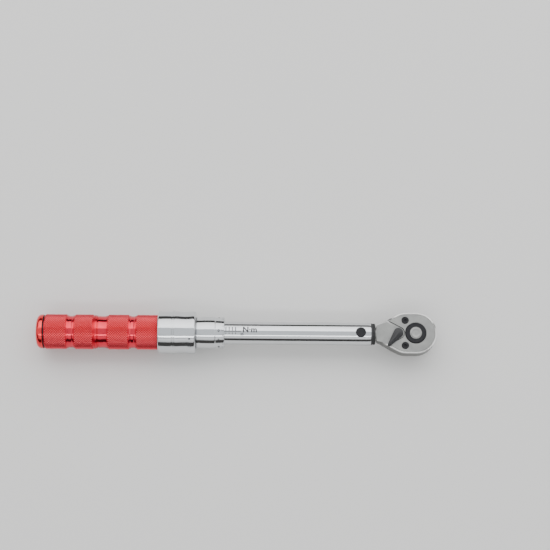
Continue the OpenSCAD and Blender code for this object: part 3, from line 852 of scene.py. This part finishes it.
BASE_LOW = HEAD_TOP / MM + 0.15
SPINE_TOP = LEVER_TOP / MM - 0.3
layers = [
    teardrop(3.4, 1.1, 0, 10.9, BASE_LOW, BASE_LOW + 1.2, 0.5),
    teardrop(1.9, 0.75, 0.3, 10.5, BASE_LOW + 1.3, BASE_LOW + 2.1, 0.4),
    teardrop(0.7, 0.5, 0.4, 10.2, BASE_LOW + 2.0, SPINE_TOP, 0.25),
    teardrop(3.25, 3.2, 0, 0.05, HEAD_TOP / MM - 0.6, BASE_LOW + 0.2, 0.1),
    teardrop(2.6, 2.55, 0, 0.02, LEVER_FOOT / MM, BASE_LOW + 0.1, 0.1),
]
clear_selection()
for layer in layers:
    layer.select_set(True)
bpy.context.view_layer.objects.active = layers[0]
bpy.ops.object.join()
lever = bpy.context.object
lever.rotation_euler = (0, 0, LEVER_TURN)
lever.location = (LEVER_AXIS[0], LEVER_AXIS[1], 0)
finish_piece(lever, "reversing_lever_cast")
bevel_edges(lever, 0.16, 2, 30)
mount(lever, "lever", BLACK_COAT, ["reversing_lever"])
print("lever faces", len(lever.data.polygons))

# %% [markdown]
# ## Springs
# A coil spring is a round wire wound on a mandrel. A small circle is placed at the coil's radius and a
# screw modifier winds it along the spring's axis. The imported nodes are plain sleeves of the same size.

# %% Springs
def coil(name, along, origin, length, coil_r, wire_r, turns):
    """Winds a spring along the X or Z axis from an origin; sizes in mm, origin in metres."""
    clear_selection()
    spot = (0, 0, coil_r * MM) if along == "X" else (coil_r * MM, 0, 0)
    bpy.ops.mesh.primitive_circle_add(
        vertices=8, radius=wire_r * MM, location=spot, rotation=(math.pi / 2, 0, 0))
    spring = bpy.context.object
    bpy.ops.object.transform_apply(location=True, rotation=True)
    screw = spring.modifiers.new("wind", "SCREW")
    screw.axis = along
    screw.screw_offset = (length - 2 * wire_r) / turns * MM
    screw.iterations = turns
    screw.steps = 20
    screw.render_steps = 20
    bpy.ops.object.modifier_apply(modifier=screw.name)
    bpy.ops.object.mode_set(mode="EDIT")
    bpy.ops.mesh.select_all(action="SELECT")
    bpy.ops.mesh.fill_holes(sides=0)
    bpy.ops.mesh.normals_make_consistent(inside=False)
    bpy.ops.object.mode_set(mode="OBJECT")
    lift = wire_r * MM
    spring.location = Vector(origin) + (Vector((lift, 0, 0)) if along == "X" else Vector((0, 0, lift)))
    return finish_piece(spring, name, 60)


def box_spring(node, name, along, coil_r, wire_r, turns, body):
    """Winds a spring in the place of a packed sleeve."""
    low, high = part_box(node)
    index = "XYZ".index(along)
    middle = [(a + b) / 2 for a, b in zip(low, high)]
    middle[index] = low[index]
    spring = coil(name, along, middle, (high[index] - low[index]) / MM, coil_r, wire_r, turns)
    return mount(spring, body, SPRING_WIRE, [node])


main_spring = box_spring("main_spring", "main_spring_coil", "X", 5.2, 1.05, 13, "barrel")
lock_spring = box_spring("lock_spring", "lock_spring_coil", "X", 11.25, 0.7, 4, "handle")
release_spring = box_spring("release_spring", "release_spring_coil", "Z", 2.55, 0.3, 4, "drive")
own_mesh(main_spring)
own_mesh(lock_spring)
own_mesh(release_spring)
print("springs wound")

# %% [markdown]
# ## Working pieces inside
# These keep the frame's shapes, because they are hidden, but each has its own real finish.

# %% Inner pieces
GROUND = ("plunger", "spring_seat", "spindle", "handle_sleeve", "clamp_nut", "nut_pin", "pawl", "stop_ring")
LAPPED = ("detent_ball", "thrust_ball", "lock_ball_1", "lock_ball_2", "lock_ball_3")
for node in GROUND:
    dress(node, GROUND_STEEL)
for node in LAPPED + ("lever_plunger", "tilt_block"):
    dress(node, BALL_STEEL)
dress("lever_spring", SPRING_WIRE)
dress("lead_nut", BRASS)
dress("thimble_screw", BLACK_OXIDE)
print("inner pieces dressed")

# %% [markdown]
# ## Etched marks
# Marks are drawn flat, X along the wrench and Y around it, then wrapped: a point's height above the
# drawing becomes its height above the metal. Lettering is only a unit and plain numbers. A letter's long
# strokes would cut through the round metal as chords, so each is bisected into short lengths first.

# %% Mark helpers
MARK_DEPTH = 0.03
TEXT_STEP = 0.4


def bar_mark(x, y, length, width):
    """A flat bar centred at x, y, in mm, cut finely enough to bend round the wrench."""
    clear_selection()
    bpy.ops.mesh.primitive_cube_add(
        size=1, location=(x * MM, y * MM, 0.2 * MARK_DEPTH * MM),
        scale=(length * MM, width * MM, 1.6 * MARK_DEPTH * MM))
    bar = bpy.context.object
    bpy.ops.object.transform_apply(location=True, rotation=True, scale=True)
    bpy.ops.object.mode_set(mode="EDIT")
    bpy.ops.mesh.subdivide(number_cuts=4)
    bpy.ops.object.mode_set(mode="OBJECT")
    return bar


def text_mark(words, x, y, size):
    """Plain lettering centred at x, y with a height of about size, in mm."""
    clear_selection()
    bpy.ops.object.text_add(location=(0, 0, 0))
    text = bpy.context.object
    text.data.body = words
    text.data.size = size * 1.4 * MM
    text.data.extrude = MARK_DEPTH * MM
    text.data.offset = 0.045 * size * MM
    text.data.resolution_u = 3
    text.data.align_x = "CENTER"
    text.data.align_y = "CENTER"
    bpy.ops.object.convert(target="MESH")
    text = bpy.context.object
    text.location = (x * MM, y * MM, 0)
    bpy.ops.object.transform_apply(location=True, rotation=True, scale=True)
    cuts = math.ceil(size / TEXT_STEP)
    bpy.ops.object.mode_set(mode="EDIT")
    for i in range(-cuts, cuts + 1):
        bpy.ops.mesh.select_all(action="SELECT")
        bpy.ops.mesh.bisect(plane_co=(0, (y + i * TEXT_STEP) * MM, 0), plane_no=(0, 1, 0))
    bpy.ops.object.mode_set(mode="OBJECT")
    return text


def ring_mark(x, y, sides, r, line):
    """An outline with a number of sides, or a round ring, drawn line mm thick."""
    clear_selection()
    bpy.ops.mesh.primitive_circle_add(
        vertices=sides, radius=r * MM, fill_type="NGON", location=(x * MM, y * MM, 0))
    mark = bpy.context.object
    bpy.ops.object.transform_apply(location=True)
    bpy.ops.object.mode_set(mode="EDIT")
    bpy.ops.mesh.select_all(action="SELECT")
    if line:
        bpy.ops.mesh.inset(thickness=line * MM)
        bpy.ops.mesh.delete(type="FACE")
        bpy.ops.mesh.select_all(action="SELECT")
    bpy.ops.mesh.extrude_region_move(TRANSFORM_OT_translate={"value": (0, 0, MARK_DEPTH * MM)})
    bpy.ops.mesh.select_all(action="SELECT")
    bpy.ops.mesh.normals_make_consistent(inside=False)
    bpy.ops.object.mode_set(mode="OBJECT")
    return mark


def wrap(marks, name, angles, r_at, body):
    """Bends flat marks round the wrench. Each has its own angle from the top, towards +Y, in degrees."""
    for mark, angle in zip(marks, angles):
        for vertex in mark.data.vertices:
            x, y, height = vertex.co
            r = r_at(-x / MM) * MM + height
            turn = math.radians(angle) + y / r
            vertex.co = (x, r * math.sin(turn), AXIS_Z + r * math.cos(turn))
    clear_selection()
    for mark in marks:
        mark.select_set(True)
    bpy.context.view_layer.objects.active = marks[0]
    bpy.ops.object.join()
    joined = finish_piece(bpy.context.object, name, 20)
    return mount(joined, body, ETCHED)


print("mark helpers ready")

# %% Scale on the tube
SCALE_STEP = 2.25
SCALE_ANGLE = -2.0
FIRST_TICK = THIMBLE_FRONT - 1.1
scale_marks = [bar_mark(-(THIMBLE_FRONT - 5.9), 0, 11.6, 0.42)]
scale_marks += [bar_mark(-(FIRST_TICK - i * SCALE_STEP), 2.0, 0.6, 2.8) for i in range(4)]
scale_marks += [bar_mark(-(FIRST_TICK - i * SCALE_STEP), -1.3, 0.42, 1.1) for i in range(4)]
scale_marks += [text_mark("N·m", -(THIMBLE_FRONT - 17.8), 1.3, 4.0)]
scale_marks += [text_mark("25", -(THIMBLE_FRONT - 12.4), -1.9, 1.7)]
wrap(scale_marks, "scale_marks", [SCALE_ANGLE] * len(scale_marks), lambda x: TUBE_R, "barrel")
print("scale marks", len(scale_marks))

# %% Dial on the thimble
DIAL_COUNT = 10


def cone_radius(x):
    """Radius of the thimble's sloping dial."""
    t = (x - THIMBLE_FRONT - 0.35) / (CONE_REAR - THIMBLE_FRONT - 0.35)
    return EDGE_R + (THIMBLE_R - 0.4 - EDGE_R) * min(max(t, 0), 1)


dial_marks = []
dial_angles = []
for i in range(DIAL_COUNT):
    turn = SCALE_ANGLE + 360 / DIAL_COUNT * i
    dial_marks += [text_mark(str(i), -(THIMBLE_FRONT + 3.9), 0, 2.0)]
    dial_marks += [bar_mark(-(THIMBLE_FRONT + 1.3), 0, 1.7, 0.3), bar_mark(-(THIMBLE_FRONT + 1.0), 0, 1.1, 0.25)]
    dial_angles += [turn, turn, turn + 180 / DIAL_COUNT]
wrap(dial_marks, "dial_marks", dial_angles, cone_radius, "handle")
print("dial marks", len(dial_marks))

# %% Lock marks on the collar
MARK_X = COLLAR_FRONT + 4.0
lock_marks = [ring_mark(-MARK_X, 0, 3, 1.0, 0), ring_mark(-MARK_X, 0, 3, 0.85, 0)]
lock_marks += [ring_mark(-MARK_X, 0, 28, 1.75, 0.3)]
wrap(lock_marks, "lock_marks", [-27, -46, -46], lambda x: waist(x) - 0.01, "collar")
print("lock marks", 2)

# %% [markdown]
# ## Floor, light and camera
# The wrench lies on a plain pale floor. Polished chrome shows only what is around it, so the lights are
# wide panels: one high behind for the broad upper band, one low in front for the thin lower line, and one
# beyond each end for the faces that turn that way. The room is dark low down and pale overhead, which
# draws the dark lines along the plated pieces.

# %% Floor
clear_selection()
bpy.ops.mesh.primitive_plane_add(size=4.0, location=(-0.1, 0, -0.0002))
floor = bpy.context.object
floor.name = "floor"
floor_material, floor_tree, floor_shader, floor_place = new_finish("pale painted board", "DDDCDA", 0.0, 0.8)
floor_grain = add_node(floor_tree, "ShaderNodeTexNoise", {
    "Vector": floor_place, "Scale": per_mm(1.5), "Detail": 3.0})
floor_bump = add_node(floor_tree, "ShaderNodeBump", {
    "Height": floor_grain.outputs["Fac"], "Distance": 0.02 * MM})
floor_tree.links.new(floor_bump.outputs["Normal"], floor_shader.inputs["Normal"])
floor.data.materials.append(floor_material)

# %% Lights
MIDDLE = Vector((-0.12, 0, AXIS_Z))


def panel(name, side, tilt, distance, length, width, glow):
    """A soft panel, tilt degrees from straight up towards a side, with its length across that direction."""
    lean = math.radians(tilt)
    place = MIDDLE + (Vector(side) * math.sin(lean) + Vector((0, 0, math.cos(lean)))) * distance
    light = bpy.data.lights.new(name, "AREA")
    light.shape = "RECTANGLE"
    light.size = length
    light.size_y = width
    light.energy = glow * math.pi * length * width
    lamp = bpy.data.objects.new(name, light)
    lamp.location = place
    lamp.rotation_euler = (MIDDLE - place).to_track_quat("-Z", "Y").to_euler()
    bpy.context.scene.collection.objects.link(lamp)


panel("back_panel", (0, 1, 0), 43, 1.1, 2.6, 1.1, 2.1)
panel("front_strip", (0, -1, 0), 33, 1.3, 2.6, 0.16, 4.0)
panel("front_fill", (0, -1, 0), 54, 1.3, 2.6, 0.5, 0.8)
panel("butt_panel", (-1, 0, 0), 62, 1.3, 1.0, 0.7, 1.0)
panel("head_panel", (1, 0, 0), 62, 1.3, 1.0, 0.7, 1.4)
world = bpy.data.worlds.new("room")
world.use_nodes = True
room = world.node_tree
direction = add_node(room, "ShaderNodeTexCoord").outputs["Generated"]
height = add_node(room, "ShaderNodeSeparateXYZ", {"Vector": direction}).outputs["Z"]
fade = add_node(room, "ShaderNodeMapRange", {"Value": height, "From Min": 0.42, "From Max": 0.92})
ceiling = add_node(room, "ShaderNodeMix", {
    "Factor": fade.outputs["Result"], "A": linear("3C3B3A"), "B": linear("C9CCCF")}, data_type="RGBA")
room.nodes["Background"].inputs["Strength"].default_value = 1.8
room.links.new(ceiling.outputs["Result"], room.nodes["Background"].inputs["Color"])
bpy.context.scene.world = world

# %% [markdown]
# The camera looks almost straight down on the lever side, from far enough away to flatten the view.

# %% Camera
IMAGE = 550
MM_PER_DOT = 0.7037
FAR = 1500
DOTS_LEFT = 137.6
DOTS_BELOW = 58.4
ELEVATION = 80.0
ROLL = 0.5
aim_x = -DOTS_LEFT * MM_PER_DOT * MM
far = FAR * MM_PER_DOT * MM
rise = math.radians(ELEVATION)
dip = math.atan(DOTS_BELOW / FAR)
camera_data = bpy.data.cameras.new("camera")
camera_data.sensor_width = 36
camera_data.lens = 36 * FAR / IMAGE
camera_data.clip_end = 10
camera = bpy.data.objects.new("camera", camera_data)
camera.location = (aim_x, -far * math.cos(rise), AXIS_Z + far * math.sin(rise))
camera.rotation_euler = (math.pi / 2 - rise + dip, 0, math.radians(ROLL))
bpy.context.scene.collection.objects.link(camera)
bpy.context.scene.camera = camera
print("camera height m", round(camera.location.z, 3))
